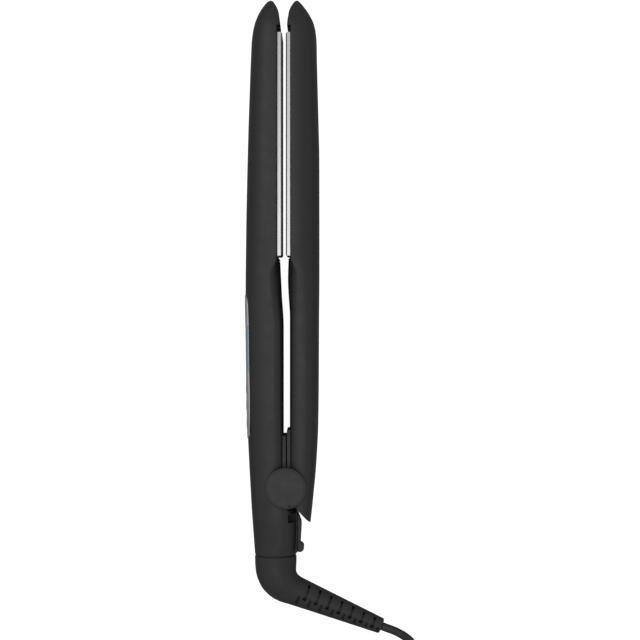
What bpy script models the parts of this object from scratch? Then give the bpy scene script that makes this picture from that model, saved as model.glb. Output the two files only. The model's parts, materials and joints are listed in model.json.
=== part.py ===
"""Flat iron (hair straightener): two arms on one hinge pin, floating heated plates, lock, panel and swivel cord.

Lengths here are in millimetres and are scaled to metres as each object is made. The iron lies on its side:
+Y runs from the hinge to the tips, +X from the control arm to the plain arm, and +Z along the hinge pin. The
origin is on the hinge axis, in the outer face of the lower hinge cap, on which the iron rests.
"""

import math

import bmesh
import bpy
from mathutils import Matrix, Vector

# Driving dimensions, in millimetres
MM = 0.001
GAP = 0.3  # clearance between touching pieces
MID = 15.0  # height of the arms' middle plane over the table
WALL = 1.9  # casing wall
PLATE_LOW, PLATE_HIGH = 114.5, 224.6  # ends of the heated plates along Y
PLATE_HALF = 12.5  # half the plates' width
FACE = {-1: -1.8, 1: 0.05}  # the plates' hair faces: control arm (-1), plain arm (+1)
CARRIER_HALF = 9.0
COVER_LOW, COVER_HIGH = 29.0, 106.0  # inner handle covers along Y
COVER_HALF = 8.7
COVER_DEEP = 2.4
SCREW_Y = 99.0  # cover screws
KNUCKLE = 9.0  # round end of the plain casing
PIN = 2.5  # hinge pin radius
BORE = 2.56  # running bores on the pin
CAP = 10.3  # hinge cap radius
CAP_DEEP = 2.5
PANEL_LOW, PANEL_HIGH, PANEL_HALF = 24.0, 95.2, 8.0
LENS_LOW, LENS_HIGH, LENS_HALF = 57.3, 79.8, 6.2
BUTTONS = {"plus_button": 49.0, "minus_button": 40.5, "power_button": 31.5}
BUTTON = 3.1  # button radius
BOARD = (-14.5, -13.1)  # the board's two faces
SWIVEL_X = -5.2  # axis of the cord swivel
SEAM = -34.4  # end of the control casing
BOOT = 10.2  # radius of the swivel boot's round head
CORD = 2.1  # cord radius
HANK_X, HANK_TOP, HANK_RUN, HANK_ROUND = 49.0, -118.0, 66.0, 19.4
HANK_BOTTOM, HANK_HEIGHT = 0.9, 17.4
PLUG_X, PLUG_Z, PLUG_END = 8.0, 6.85, -171.7

# Half the arms' depth along Z, at places along Y
HALF_DEPTH = [(-34.4, 10.2), (-28, 10.9), (-14, 12.1), (-12, 12.2), (12, 12.2), (20, 12.6), (50, 13.3),
              (90, 13.8), (112, 14.6), (130, 15), (228, 15), (234, 14), (238, 12.2), (240.8, 9.5), (242.3, 7)]

# Casing sections: y, outer edge, inner edge, rounding of the inner edge, outer and inner curve exponents
CONTROL_ARM = [
    (-34.4, -15.4, 5.0, 10.2, 2.0, 2.0), (-28, -16, 5.3, 8.5, 2.1, 2.1), (-20, -16.6, 5.4, 8.5, 2.3, 2.2),
    (-12, -17.2, 5.3, 8.5, 2.5, 2.3), (-9, -17.4, 4.9, 8.5, 2.5, 2.3), (-6, -17.6, -0.1, 3.5, 2.5, 2.3),
    (12.8, -18.6, -0.1, 3.5, 2.5, 2.3), (26.4, -19.2, -0.1, 3.5, 2.5, 2.3), (27, -19.25, -1.25, 4.5, 2.5, 2.3),
    (52, -19.6, -1.25, 4.5, 2.5, 2.3), (78.8, -19.95, -1.25, 4.5, 2.5, 2.3), (84.8, -20.3, -1.55, 4.5, 2.5, 2.3),
    (93.8, -20.4, -2.3, 4.5, 2.5, 2.3), (102.8, -20.3, -2.75, 4, 2.5, 2.4), (112, -20.2, -3.2, 2.5, 2.5, 2.8),
    (112.6, -20.15, -4.6, 0.8, 2.5, 4), (132.8, -19.95, -4.6, 0.8, 2.5, 4), (162.8, -19.3, -4.6, 0.8, 2.5, 4),
    (192.8, -18.4, -4.6, 0.8, 2.5, 4), (210.8, -17.65, -4.6, 0.8, 2.5, 4), (222.8, -17.15, -4.6, 0.8, 2.5, 4),
    (230, -16.05, -4.6, 0.8, 2.5, 4), (230.4, -15.9, -2.9, 0.8, 2.5, 4), (232.8, -15.1, -3.2, 1, 2.4, 3),
    (234.8, -14.15, -3.6, 1.2, 2.3, 3), (236.8, -13.1, -4.2, 1.5, 2.2, 2.6), (238.8, -12.1, -5.1, 1.6, 2.1, 2.4),
    (240.8, -10.55, -6.05, 1.5, 2.0, 2.2), (241.8, -9.55, -6.65, 1.2, 2.0, 2.0), (242.3, -8.8, -7.4, 0.6, 2, 2)]
PLAIN_ARM = [
    (-18.3, 12.05, 0.35, 3.5, 2.5, 2.3), (-11.2, 12.85, 0.35, 3.5, 2.5, 2.3), (-5.2, 13.45, 0.35, 3.5, 2.5, 2.3),
    (0.8, 14.1, 0.35, 3.5, 2.5, 2.3), (9.8, 14.9, 0.35, 3.5, 2.5, 2.3), (18.8, 15.4, 0.35, 3.5, 2.5, 2.3),
    (28.6, 15.85, 0.35, 3.5, 2.5, 2.3), (29.2, 15.87, 1.85, 4.5, 2.5, 2.3), (52, 16.15, 1.85, 4.5, 2.5, 2.3),
    (84.8, 16.45, 1.85, 4.5, 2.5, 2.3), (93.8, 16.55, 1.35, 4.5, 2.5, 2.3), (102.8, 16.65, 1.0, 4, 2.5, 2.4),
    (112, 16.65, 1.3, 2.5, 2.5, 2.8), (112.6, 16.65, 2.2, 0.8, 2.5, 4), (132.8, 16.65, 2.2, 0.8, 2.5, 4),
    (162.8, 16.6, 2.2, 0.8, 2.5, 4), (192.8, 15.9, 2.2, 0.8, 2.5, 4), (210.8, 15.45, 2.2, 0.8, 2.5, 4),
    (222.8, 15.2, 2.2, 0.8, 2.5, 4), (230, 14.0, 2.2, 0.8, 2.5, 4), (230.4, 13.8, 0.85, 0.8, 2.5, 4),
    (232.8, 12.9, 1.25, 1, 2.4, 3), (234.8, 11.95, 1.5, 1.2, 2.3, 3), (236.8, 10.9, 2.15, 1.5, 2.2, 2.6),
    (238.8, 9.45, 2.95, 1.6, 2.1, 2.4), (240.8, 7.8, 3.9, 1.5, 2.0, 2.2), (241.8, 6.75, 4.4, 1.1, 2.0, 2.0),
    (242.3, 6.3, 4.9, 0.6, 2, 2)]
ARM = {-1: CONTROL_ARM, 1: PLAIN_ARM}
NAME = {-1: "control", 1: "plain"}

# The cord: from the boot to the hank, and from the hank to the plug
CORD_RUN = [(47.98, -70.51, 15.0), (56.0, -73.8, 14.4), (62.2, -78.5, 12.2), (65.5, -85.0, 9.2),
            (66.2, -92.0, 6.2), (66.1, -99.0, 4.0), (66.0, -105.3, 3.1)]
CORD_END_RUN = [(36.3, -201.0, 15.6), (29.0, -200.6, 14.9), (21.5, -198.2, 12.9), (15.0, -193.6, 10.4),
                (10.3, -187.0, 8.3), (8.2, -179.5, 7.1), (8.0, -172.0, 6.85)]

COLOURS = {  # colour, roughness, metallic
    "casing": ((0.035, 0.035, 0.036), 0.55, 0.0), "heat_plastic": ((0.02, 0.02, 0.02), 0.6, 0.0),
    "plate": ((0.55, 0.55, 0.56), 0.25, 1.0), "ceramic": ((0.82, 0.78, 0.7), 0.6, 0.0),
    "steel": ((0.6, 0.6, 0.62), 0.3, 1.0), "brass": ((0.75, 0.57, 0.25), 0.3, 1.0),
    "board": ((0.03, 0.2, 0.09), 0.5, 0.0), "panel": ((0.35, 0.35, 0.36), 0.35, 0.2),
    "lens": ((0.2, 0.32, 0.38), 0.1, 0.0), "button": ((0.03, 0.03, 0.03), 0.4, 0.0),
    "switch": ((0.1, 0.1, 0.1), 0.5, 0.0), "lead": ((0.5, 0.05, 0.04), 0.5, 0.0),
    "boot": ((0.03, 0.03, 0.03), 0.6, 0.0), "cord": ((0.02, 0.02, 0.02), 0.5, 0.0),
    "plug": ((0.025, 0.025, 0.025), 0.5, 0.0), "tie": ((0.05, 0.05, 0.05), 0.8, 0.0)}


def start():
    for thing in list(bpy.data.objects):
        bpy.data.objects.remove(thing)
    for name in ("flat_iron", "cutters"):
        bpy.context.scene.collection.children.link(bpy.data.collections.new(name))


def material(slot):
    found = bpy.data.materials.get(slot)
    if found:
        return found
    colour, roughness, metallic = COLOURS[slot]
    made = bpy.data.materials.new(slot)
    made.use_nodes = True
    shader = made.node_tree.nodes["Principled BSDF"]
    shader.inputs["Base Color"].default_value = (*colour, 1.0)
    shader.inputs["Roughness"].default_value = roughness
    shader.inputs["Metallic"].default_value = metallic
    return made


def place(obj, slot):
    """Puts an object in the model with its material, or among the cutters when it has none."""
    if slot:
        bpy.data.collections["flat_iron"].objects.link(obj)
        obj.data.materials.append(material(slot))
    else:
        bpy.data.collections["cutters"].objects.link(obj)
        obj.hide_render = True
        obj.display_type = "WIRE"
    return obj


def from_bmesh(name, shape, slot, smooth=True):
    bmesh.ops.recalc_face_normals(shape, faces=shape.faces)
    mesh = bpy.data.meshes.new(name)
    shape.to_mesh(mesh)
    shape.free()
    if smooth:
        mesh.shade_smooth()
        mesh.set_sharp_from_angle(angle=math.radians(35))
    return place(bpy.data.objects.new(name, mesh), slot)


def box(name, x, y, z, slot=None):
    """A block between two places along each axis."""
    shape = bmesh.new()
    bmesh.ops.create_cube(shape, size=1.0)
    spans = [sorted(span) for span in (x, y, z)]
    size = Vector([high - low for low, high in spans])
    centre = Vector([(high + low) / 2 for low, high in spans])
    for vert in shape.verts:
        vert.co = (Vector([a * b for a, b in zip(vert.co, size)]) + centre) * MM
    return from_bmesh(name, shape, slot, smooth=False)


def turned(name, axis, centre, profile, slot=None, steps=24, ring=False):
    """A profile of (radius, height) points, from its top down its outer side, turned about an axis."""
    shape = bmesh.new()
    verts = [shape.verts.new((r * MM, 0, h * MM)) for r, h in profile]
    for a, b in zip(verts, verts[1:] + (verts[:1] if ring else [])):
        shape.edges.new((a, b))
    mesh = bpy.data.meshes.new(name)
    shape.to_mesh(mesh)
    shape.free()
    obj = place(bpy.data.objects.new(name, mesh), slot)
    screw = obj.modifiers.new("turn", "SCREW")
    screw.steps = screw.render_steps = steps
    screw.use_merge_vertices = True
    screw.merge_threshold = 0.00001
    screw.use_smooth_shade = True
    obj.rotation_euler = {"X": (0, math.pi / 2, 0), "Y": (-math.pi / 2, 0, 0), "Z": (0, 0, 0)}[axis]
    obj.location = Vector(centre) * MM
    return obj


def rod(name, axis, centre, radius, low, high, slot=None, steps=24):
    return turned(name, axis, centre, [(0, high), (radius, high), (radius, low), (0, low)], slot, steps)


def slab(name, points, z, slot=None):
    """A flat outline in the XY plane, extruded between two heights."""
    curve = bpy.data.curves.new(name, "CURVE")
    curve.dimensions = "2D"
    curve.fill_mode = "BOTH"
    curve.extrude = abs(z[1] - z[0]) / 2 * MM
    spline = curve.splines.new("POLY")
    spline.points.add(len(points) - 1)
    for point, (x, y) in zip(spline.points, points):
        point.co = (x * MM, y * MM, 0, 1)
    spline.use_cyclic_u = True
    raw = bpy.data.objects.new(name + "_raw", curve)
    bpy.context.scene.collection.objects.link(raw)
    raw.location.z = (z[0] + z[1]) / 2 * MM
    bpy.context.view_layer.update()
    mesh = bpy.data.meshes.new_from_object(raw.evaluated_get(bpy.context.evaluated_depsgraph_get()))
    mesh.transform(raw.matrix_world)
    bpy.data.objects.remove(raw)
    shape = bmesh.new()
    shape.from_mesh(mesh)
    bpy.data.meshes.remove(mesh)
    bmesh.ops.remove_doubles(shape, verts=shape.verts, dist=0.000001)
    return from_bmesh(name, shape, slot, smooth=False)


def loft(name, rings, slot=None):
    """A closed skin through rings of equal count, with a flat cap at each end."""
    shape = bmesh.new()
    rows = [[shape.verts.new(Vector(p) * MM) for p in ring] for ring in rings]
    for row, after in zip(rows, rows[1:]):
        for k in range(len(row)):
            n = (k + 1) % len(row)
            shape.faces.new((row[k], row[n], after[n], after[k]))
    shape.faces.new(rows[0])
    shape.faces.new(rows[-1])
    return from_bmesh(name, shape, slot)


def tube(name, points, radius, slot, resolution=2):
    curve = bpy.data.curves.new(name, "CURVE")
    curve.dimensions = "3D"
    curve.bevel_depth = radius * MM
    curve.bevel_resolution = resolution
    curve.use_fill_caps = True
    spline = curve.splines.new("POLY")
    spline.points.add(len(points) - 1)
    for point, place_mm in zip(spline.points, points):
        point.co = (*(Vector(place_mm) * MM), 1)
    return place(bpy.data.objects.new(name, curve), slot)


def smooth_route(points, step):
    """Points about a step apart on one smooth curve through the route's own points."""
    p = [Vector(q) for q in points]
    p = [2 * p[0] - p[1]] + p + [2 * p[-1] - p[-2]]
    route = []
    for a, b, c, d in zip(p, p[1:], p[2:], p[3:]):
        count = max(1, round((c - b).length / step))
        for k in range(count):
            t = k / count
            route.append(0.5 * (2 * b + (c - a) * t + (2 * a - 5 * b + 4 * c - d) * t * t
                                + (3 * b - a - 3 * c + d) * t ** 3))
    return route + [p[-2]]


def change(obj, operation, *others):
    for other in others:
        boolean = obj.modifiers.new(operation.lower(), "BOOLEAN")
        boolean.operation = operation
        boolean.object = other
    return obj


def between(table, y):
    """The row of a table at y, worked out along the straight line between its neighbours."""
    for low, high in zip(table, table[1:]):
        if y <= high[0]:
            t = max(0.0, (y - low[0]) / (high[0] - low[0]))
            return [a + (b - a) * t for a, b in zip(low, high)]
    return list(table[-1])


def section(side, y, shrink=0.0, count=24):
    """One closed section of an arm's casing, or of the hollow inside it."""
    _, outer, inner, edge, bend_out, bend_in = between(ARM[side], y)
    half = between(HALF_DEPTH, y)[1] - shrink
    outer -= side * shrink
    inner += side * shrink
    shoulder = inner + side * edge
    ring = []
    for k in range(count):
        turn = 2 * math.pi * k / count
        c, s = math.cos(turn), math.sin(turn)
        far, bend = (outer, bend_out) if c >= 0 else (inner, bend_in)
        x = shoulder + (far - shoulder) * abs(c) ** (2 / bend)
        z = MID + half * math.copysign(abs(s) ** (2 / bend), s)
        ring.append((x, y, z))
    return ring


def hollow(side, low, high):
    places = [low] + [row[0] for row in ARM[side] if low + 1 < row[0] < high - 1] + [high]
    return loft(f"{NAME[side]}_hollow_{round(low)}", [section(side, y, WALL, 20) for y in places])


def sector(radius_in, radius_out, start_deg, end_deg, steps=8):
    """An outline between two arcs about the hinge axis."""
    turns = [math.radians(start_deg + (end_deg - start_deg) * k / steps) for k in range(steps + 1)]
    out = [(radius_out * math.cos(t), radius_out * math.sin(t)) for t in turns]
    return out + [(radius_in * math.cos(t), radius_in * math.sin(t)) for t in reversed(turns)]


def casing(side):
    """A casing with its hollows, the plate mouth, the cover mouth, and the boss for the cover's screw."""
    name = NAME[side]
    body = loft(f"{name}_casing", [section(side, row[0]) for row in ARM[side]], "casing")
    rim = between(ARM[side], 170)[2]
    inner = between(ARM[side], SCREW_Y)[2]
    back = between(ARM[side], SCREW_Y)[1]
    change(body, "DIFFERENCE",
           hollow(side, -28.4 if side < 0 else -20, 108),
           hollow(side, 112.2, 230.1),
           box(f"{name}_plate_mouth", (rim + side * 2.5, rim - side * 8), (112.2, 230.1), (1.9, 28.1)),
           box(f"{name}_cover_mouth", (inner + side * 5, inner - side * 6), (COVER_LOW - GAP, COVER_HIGH + GAP),
               (MID - COVER_HALF - GAP, MID + COVER_HALF + GAP)),
           box(f"{name}_lead_way", (side * 14.2, side * 8.5), (104, 116), (MID - 6, MID + 6)))
    low = inner + side * (COVER_DEEP + GAP)
    boss = rod(f"{name}_boss", "X", (0, SCREW_Y, MID), 2.9, *sorted((low, back - side * 0.8)), steps=20)
    hole = rod(f"{name}_boss_hole", "X", (0, SCREW_Y, MID), 1.4, *sorted((low - side, back - side * 3)), steps=16)
    change(body, "UNION", boss)
    return change(body, "DIFFERENCE", hole)


def control_casing():
    body = casing(-1)
    lobes = [slab(f"tail_recess_{k}", sector(9.0, 19.8, -84, -50), z) for k, z in enumerate(((1, 5.3), (24.7, 29)))]
    change(body, "DIFFERENCE",
           rod("hinge_seat", "Z", (0, 0, 0), KNUCKLE + 0.4, 0, 30, steps=36),
           *lobes,
           box("panel_window", (-23, -15.8), (PANEL_LOW - GAP, PANEL_HIGH + GAP),
               (MID - PANEL_HALF - GAP, MID + PANEL_HALF + GAP)),
           rod("swivel_hole", "Y", (SWIVEL_X, 0, MID), 6.0, SEAM - 2, -26),
           box("lock_slot", (1, 8), (-23.5, -13.0), (12.6, 17.4)))


def plain_casing():
    body = casing(1)
    diagonal = [(5.3, -10.4), (11.5, -17.2), (13.5, -19.4), (13.5, -30), (-15, -30), (-15, -4), (-0.35, -4)]
    change(body, "DIFFERENCE", slab("tail_cut", diagonal, (-1, 31)))
    change(body, "UNION", rod("knuckle", "Z", (0, 0, 0), KNUCKLE, 2.8, 27.2, steps=36))
    change(body, "DIFFERENCE",
           rod("knuckle_hollow", "Z", (0, 0, 0), KNUCKLE + 0.75, 4.8, 25.2, steps=36),
           rod("knuckle_bore", "Z", (0, 0, 0), PIN + 0.4, 0, 30))


def cover(side):
    """The inner handle cover: a thin wall that follows the arm's inner line, with a countersunk screw."""
    name = NAME[side]
    places = [COVER_LOW] + [row[0] for row in ARM[side] if COVER_LOW + 1 < row[0] < COVER_HIGH] + [COVER_HIGH]
    edge = [(between(ARM[side], y)[2], y) for y in places]
    back = [(x + side * COVER_DEEP, y) for x, y in reversed(edge)]
    body = slab(f"{name}_inner_cover", edge + back, (MID - COVER_HALF, MID + COVER_HALF), "casing")
    x = between(ARM[side], SCREW_Y)[2]
    through = rod(f"{name}_cover_hole", "X", (0, SCREW_Y, MID), 1.4, *sorted((x - 4, x + 4)), steps=16)
    sink = rod(f"{name}_cover_sink", "X", (0, SCREW_Y, MID), 2.6, *sorted((x - side * 3, x + side * 1.4)), steps=20)
    change(body, "DIFFERENCE", through, sink)
    screw(f"{name}_cover_screw", "X", (x + side * 1.1, SCREW_Y, MID), -side, 2.2, 0.9, 8)


def screw(name, axis, centre, way, head, head_deep, length):
    """A screw whose head rises from its centre along way and whose shank goes the other way."""
    profile = [(0, head_deep), (head * 0.8, head_deep), (head, head_deep * 0.6), (head, 0), (1.1, 0),
               (1.1, 0.8 - length), (0.3, -length), (0, -length)]
    if way < 0:
        profile = [(r, -h) for r, h in reversed(profile)]
    return turned(name, axis, centre, profile, "steel", 10)


def plate_stack(side):
    """The floating plate with its heater and clip, the two sensors behind it, and the carrier that holds them."""
    name = NAME[side]

    def deep(*depths):
        return tuple(FACE[side] + side * d for d in depths)

    plate = box(f"{name}_plate", deep(0, 4.8), (PLATE_LOW, PLATE_HIGH), (MID - PLATE_HALF, MID + PLATE_HALF), "plate")
    bevel = plate.modifiers.new("edges", "BEVEL")
    bevel.width = 1.1 * MM
    bevel.segments = 1
    change(plate, "DIFFERENCE", box(f"{name}_plate_channel", deep(1.8, 6), (PLATE_LOW - 1, PLATE_HIGH + 1),
                                    (MID - 11.7, MID + 11.7)))
    box(f"{name}_heater", deep(2.1, 4.2), (122, 217), (MID - 8, MID + 8), "ceramic")
    box(f"{name}_heater_clip", deep(4.5, 5.1), (118, 221), (MID - 11.2, MID + 11.2), "steel")
    rod(f"{name}_thermal_fuse", "Y", (deep(6.2)[0], 0, MID), 0.75, 176, 188, "steel", 12)
    low, high = 112.6, 229.8
    outline = [(1.1, high), (9.2, high), (9.2, low), (1.1, low), (2.4, 114.2), (8.0, 114.2),
               (8.0, 225.2), (1.1, 225.2)]
    points = [(deep(d)[0], y) for d, y in outline]
    slab(f"{name}_plate_carrier", points, (MID - CARRIER_HALF, MID + CARRIER_HALF), "heat_plastic")
    for end, y in (("rear", 135), ("front", 205)):
        coil(f"{name}_spring_{end}", "X", (deep(5.95)[0], y, MID), 2.2, 0.3, side * 1.45, 2)


def coil(name, axis, centre, radius, wire, rise, turns, legs=()):
    """A helical wire about an axis, with further points for legs at its end."""
    count = round(10 * turns)
    points = []
    for k in range(count + 1):
        a = 2 * math.pi * k / 10
        u, v, w = radius * math.cos(a), radius * math.sin(a), rise * k / count
        points.append(Vector(centre) + Vector((w, u, v) if axis == "X" else (u, v, w)))
    return tube(name, points + [Vector(p) for p in legs], wire, "steel")


def hinge():
    pin = [(0, 26.9), (2.2, 26.9), (PIN, 26.6), (PIN, 3.4), (2.2, 3.1), (0, 3.1)]
    body = turned("hinge_pin", "Z", (0, 0, 0), pin, "steel")
    change(body, "DIFFERENCE", rod("pin_end_low", "Z", (0, 0, 0), 1.3, 0, 9, steps=16),
           rod("pin_end_high", "Z", (0, 0, 0), 1.3, 21, 30, steps=16))
    cap = [(0, 7.5), (1.0, 7.5), (1.0, CAP_DEEP), (9.9, CAP_DEEP), (CAP, 2.1), (CAP, 0.8), (10.1, 0.3), (9.6, 0),
           (9.2, 0), (9.2, 0.3), (8.75, 0.3), (8.75, 0), (0, 0)]
    turned("hinge_cap_lower", "Z", (0, 0, 0), cap, "casing", 40)
    turned("hinge_cap_upper", "Z", (0, 0, 0), [(r, 2 * MID - h) for r, h in reversed(cap)], "casing", 40)

    round_end = [(6 * math.cos(t), 6 * math.sin(t)) for t in [math.radians(a) for a in range(-90, 91, 15)]]
    control = slab("control_bracket", round_end + [(-6.2, 6), (-6.2, 9), (-8.8, 9), (-8.8, -9), (-6.2, -9),
                                                   (-6.2, -6)], (5.2, 24.8), "steel")
    change(control, "DIFFERENCE", box("control_fork", (-6.2, 8), (-10, 10), (8.2, 21.8)),
           rod("control_bore", "Z", (0, 0, 0), BORE, 0, 30))
    for end, y in (("lower", -7.2), ("upper", 7.2)):
        change(control, "DIFFERENCE", rod(f"control_screw_way_{end}", "X", (0, y, MID), 1.4, -12, -4, steps=16))
        screw(f"control_bracket_screw_{end}", "X", (-5.9, y, MID), 1, 1.6, 1.1, 8)

    turns = [math.radians(a) for a in range(90, 361, 15)]
    knuckle = [(5.6 * math.cos(t), 5.6 * math.sin(t)) for t in turns]
    plain = slab("plain_bracket", knuckle + [(9.5, 6), (9.5, 27), (3.2, 27), (3.2, 8)], (8.6, 21.4), "steel")
    change(plain, "DIFFERENCE", box("plain_fork", (-7, 12), (-8, 16), (11.6, 18.4)),
           rod("plain_bore", "Z", (0, 0, 0), 3.9, 0, 30))
    for end, y in (("lower", 19), ("upper", 24.2)):
        change(plain, "DIFFERENCE", rod(f"plain_screw_way_{end}", "Z", (6.3, y, 0), 1.4, 0, 30, steps=16))
        screw(f"plain_bracket_screw_{end}", "Z", (6.3, y, 21.7), 1, 2.0, 1.2, 14)
    for end, z in (("lower", 8.7), ("upper", 18.5)):
        bush = [(BORE, z + 2.8), (3.6, z + 2.8), (3.6, z), (BORE, z)]
        turned(f"hinge_bush_{end}", "Z", (0, 0, 0), bush, "brass", ring=True)
    coil("opening_spring", "Z", (0, 0, 12.5), 3.9, 0.5, 5.0, 4, [(4.4, 3.5, 17.5), (4.9, 6.5, 17.5)])


def crest(name, low, high, half, back, slot):
    """A piece of the control arm's own outer skin, between two places along Y."""
    places = [low - 2] + [row[0] for row in CONTROL_ARM if low < row[0] < high] + [high + 2]
    skin = loft(name, [section(-1, y, count=48) for y in places], slot)
    return change(skin, "INTERSECT", box(name + "_bounds", (-23, back), (low, high), (MID - half, MID + half)))


def panel():
    bezel = crest("panel_bezel", PANEL_LOW, PANEL_HIGH, PANEL_HALF, -17.9, "panel")
    crest("display_lens", LENS_LOW, LENS_HIGH, LENS_HALF, -18.1, "lens")
    change(bezel, "DIFFERENCE", box("lens_window", (-23, -15), (LENS_LOW - GAP, LENS_HIGH + GAP),
                                    (MID - LENS_HALF - GAP, MID + LENS_HALF + GAP)))
    box("lcd_module", (-17.5, -14.8), (55.5, 81.5), (MID - 7.4, MID + 7.4), "switch")
    box("control_board", BOARD, (28, 92), (MID - 8, MID + 8), "board")
    for name, y in BUTTONS.items():
        change(bezel, "DIFFERENCE", rod(name + "_way", "X", (0, y, MID), BUTTON + 0.35, -23, -16, steps=24))
        face = between(CONTROL_ARM, y)[1] - 0.1
        profile = [(0, -16.9), (3.9, -16.9), (3.9, -17.5), (BUTTON, -17.5), (BUTTON, face + 0.3),
                   (BUTTON - 0.3, face), (0, face)]
        turned(name, "X", (0, y, MID), profile, "button", 24)
        box(name.replace("button", "switch"), (-16.1, -14.8), (y - 2.5, y + 2.5), (MID - 2.5, MID + 2.5), "switch")


def leads():
    tube("mains_leads", smooth_route([(-10.5, -19, 10), (-12, -8, 10), (-12, 10, 10), (-12, 26, 10)], 5), 0.9, "lead")
    tube("control_heater_leads", smooth_route([(-12, 94, 19.2), (-12, 103, 19.2), (-13, 112, 18.5), (-14.5, 124, 15),
                                               (-14.5, 150, 15)], 5), 0.8, "lead")
    tube("plain_heater_leads", smooth_route([(8, 31, 15), (9, 60, 13), (9, 90, 10.8), (10, 103, 10.8),
                                             (10.8, 113, 12), (11.6, 126, 15), (11.6, 150, 15)], 5), 0.8, "lead")


def lock():
    """The lock slider on the control arm, with its tongue through the slot, and its detent spring inside."""
    knob = [(6.85 + 2.1 * math.cos(t), -30.6 + 2.1 * math.sin(t)) for t in
            [math.radians(a) for a in range(75, -121, -15)]]
    outline = [(5.75, -12.9), (7.7, -18), (7.75, -20.2), (7.3, -28)] + knob + [(5.75, -32.3)]
    slider = slab("lock_slider", outline, (10, 20), "casing")
    change(slider, "UNION", box("lock_tongue", (2.0, 6.5), (-23, -17.5), (13, 17)),
           box("lock_head", (1.5, 2.6), (-23, -17.5), (11, 19)))
    box("lock_detent_spring", (0.5, 1.1), (-23.5, -14.5), (13, 17), "steel")


def boot():
    """The swivel boot: stem and flange inside the casing, round head, elbow and tapered strain relief."""
    rings = [((SWIVEL_X, y), -math.pi / 2, r) for y, r in (
        (-23.6, 5.6), (-26.2, 5.6), (-26.2, 7.6), (-28.0, 7.6), (-28.0, 5.6), (SEAM - GAP, 5.6),
        (SEAM - GAP, 9.9), (SEAM - 0.7, BOOT), (-41, BOOT))]
    elbow = [Vector(p) for p in ((SWIVEL_X, -41), (SWIVEL_X, -47.8), (-1.2, -50.1), (4.4, -52.45))]
    end = Vector((47.7, -70.4))
    for k in range(1, 7):
        t = k / 6
        p = [(1 - t) ** 3, 3 * t * (1 - t) ** 2, 3 * t * t * (1 - t), t ** 3]
        at = sum((w * q for w, q in zip(p, elbow)), Vector((0, 0)))
        slope = sum((w * (b - a) for w, a, b in zip(((1 - t) ** 2, 2 * t * (1 - t), t * t), elbow, elbow[1:])),
                    Vector((0, 0)))
        rings.append((at, math.atan2(slope.y, slope.x), BOOT + (7.4 - BOOT) * t))
    way = math.atan2(end.y - elbow[3].y, end.x - elbow[3].x)
    rings.append((end, way, 3.6))
    circles = []
    for at, turn, radius in rings:
        across = Vector((-math.sin(turn), math.cos(turn), 0)) * radius
        up = Vector((0, 0, radius))
        centre = Vector((at[0], at[1], MID))
        angles = [2 * math.pi * k / 20 for k in range(20)]
        circles.append([centre + across * math.cos(a) + up * math.sin(a) for a in angles])
    body = loft("swivel_boot", circles, "boot")
    along = (end - elbow[3]).normalized()
    for row, count in ((1, 7), (-1, 8)):
        for k in range(count):
            reach = 5.0 + 5.2 * k + (0 if row > 0 else -2.6)
            at = elbow[3] + along * reach
            slot = box(f"boot_slot_{row}_{k}", (-0.7, 0.7), (0.45, 12), (-20, 20))
            slot.data.transform(Matrix.Translation((at.x * MM, at.y * MM, MID * MM))
                                @ Matrix.Rotation(way + (0 if row > 0 else math.pi), 4, "Z"))
            wide = (7.4 - 3.8 * reach / 46.9) * 0.75
            bounds = box(f"boot_slot_bounds_{row}_{k}", (-50, 80), (-100, 0), (MID - wide, MID + wide))
            change(slot, "INTERSECT", bounds)
            change(body, "DIFFERENCE", slot)
    ring = [(5.9, -24.4), (7.9, -24.4), (7.9, -25.9), (5.9, -25.9)]
    turned("swivel_retaining_ring", "Y", (SWIVEL_X, 0, MID), ring, "steel", ring=True)
    contact = [(2.1, -19.5), (4.5, -19.5), (4.5, -22.5), (2.1, -22.5)]
    turned("swivel_contact_ring", "Y", (SWIVEL_X, 0, MID), contact, "brass", ring=True)
    rod("swivel_contact_pin", "Y", (SWIVEL_X, 0, MID), 1.6, -23.3, -18, "brass", 20)


def cord():
    tube("cord_run", smooth_route(CORD_RUN, 5), CORD, "cord")
    tube("cord_end_run", smooth_route(CORD_END_RUN, 5), CORD, "cord")
    outline = []
    for y, first in ((HANK_TOP, 0), (HANK_TOP - HANK_RUN, 180)):
        for k in range(13):
            t = math.radians(first + 15 * k)
            outline.append((HANK_X + HANK_ROUND * math.cos(t), y + HANK_ROUND * math.sin(t)))
    top = HANK_BOTTOM + HANK_HEIGHT
    slab("cord_hank", outline, (HANK_BOTTOM, top), "cord")
    wide = HANK_ROUND + GAP
    middle = HANK_TOP - HANK_RUN / 2
    band = box("cord_tie", (HANK_X - wide - 0.9, HANK_X + wide + 0.9), (middle - 3, middle + 3), (0, top + 0.9), "tie")
    inside = box("tie_inside", (HANK_X - wide, HANK_X + wide), (middle - 4, middle + 4), (0.6, top + GAP))
    change(band, "DIFFERENCE", inside)


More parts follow.
